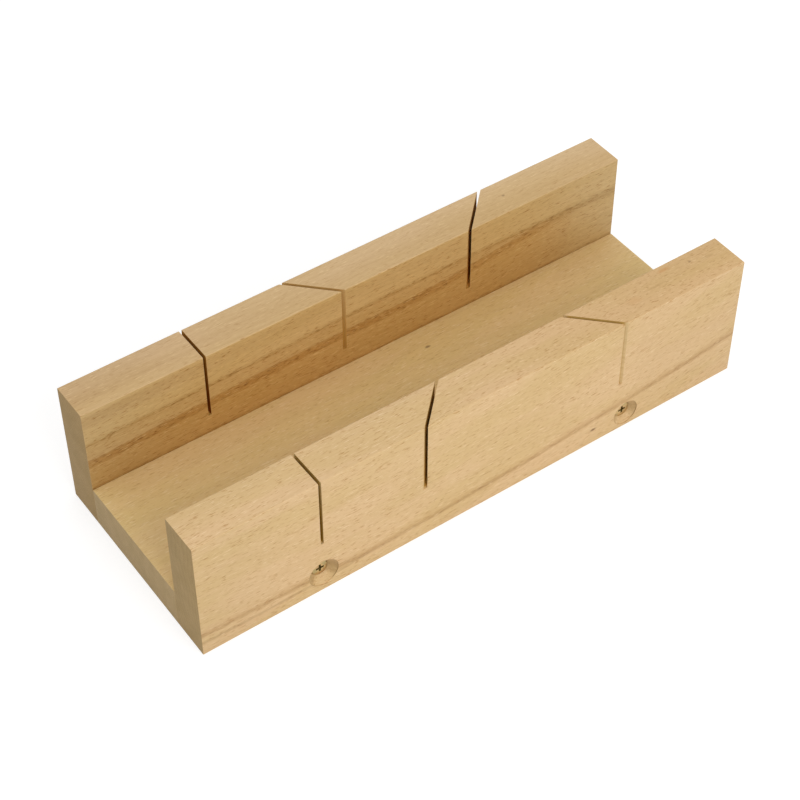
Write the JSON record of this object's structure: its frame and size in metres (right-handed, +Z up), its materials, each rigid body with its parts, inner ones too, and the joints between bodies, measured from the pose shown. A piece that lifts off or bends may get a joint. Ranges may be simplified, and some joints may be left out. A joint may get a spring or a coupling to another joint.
{
  "type": "mitre box",
  "caption": "Wooden mitre box: an open channel of boards whose walls have straight and angled slots that guide a hand saw across a workpiece.",
  "frame": {"origin": "under the middle of the box, on the plane that it stands on", "axes": "+X along the channel, towards the end that is further from the square slots; +Y from the front wall to the back wall; +Z up"},
  "size_m": [0.3, 0.113, 0.07],
  "materials": {
    "beech_base": "planed beech, bare, with fine flecks along the grain",
    "beech_front": "planed beech, bare, pale, with a thin brown streak low on the face",
    "beech_back": "planed beech, bare, with darker heartwood bands towards the base",
    "zinc_screw": "steel with yellow zinc plating"
  },
  "bodies": {
    "root": {"base_board": "beech_base", "front_wall": "beech_front", "back_wall": "beech_back", "front_screw_left": "zinc_screw", "front_screw_right": "zinc_screw", "back_screw_left": "zinc_screw", "back_screw_right": "zinc_screw"}
  },
  "joints": []
}
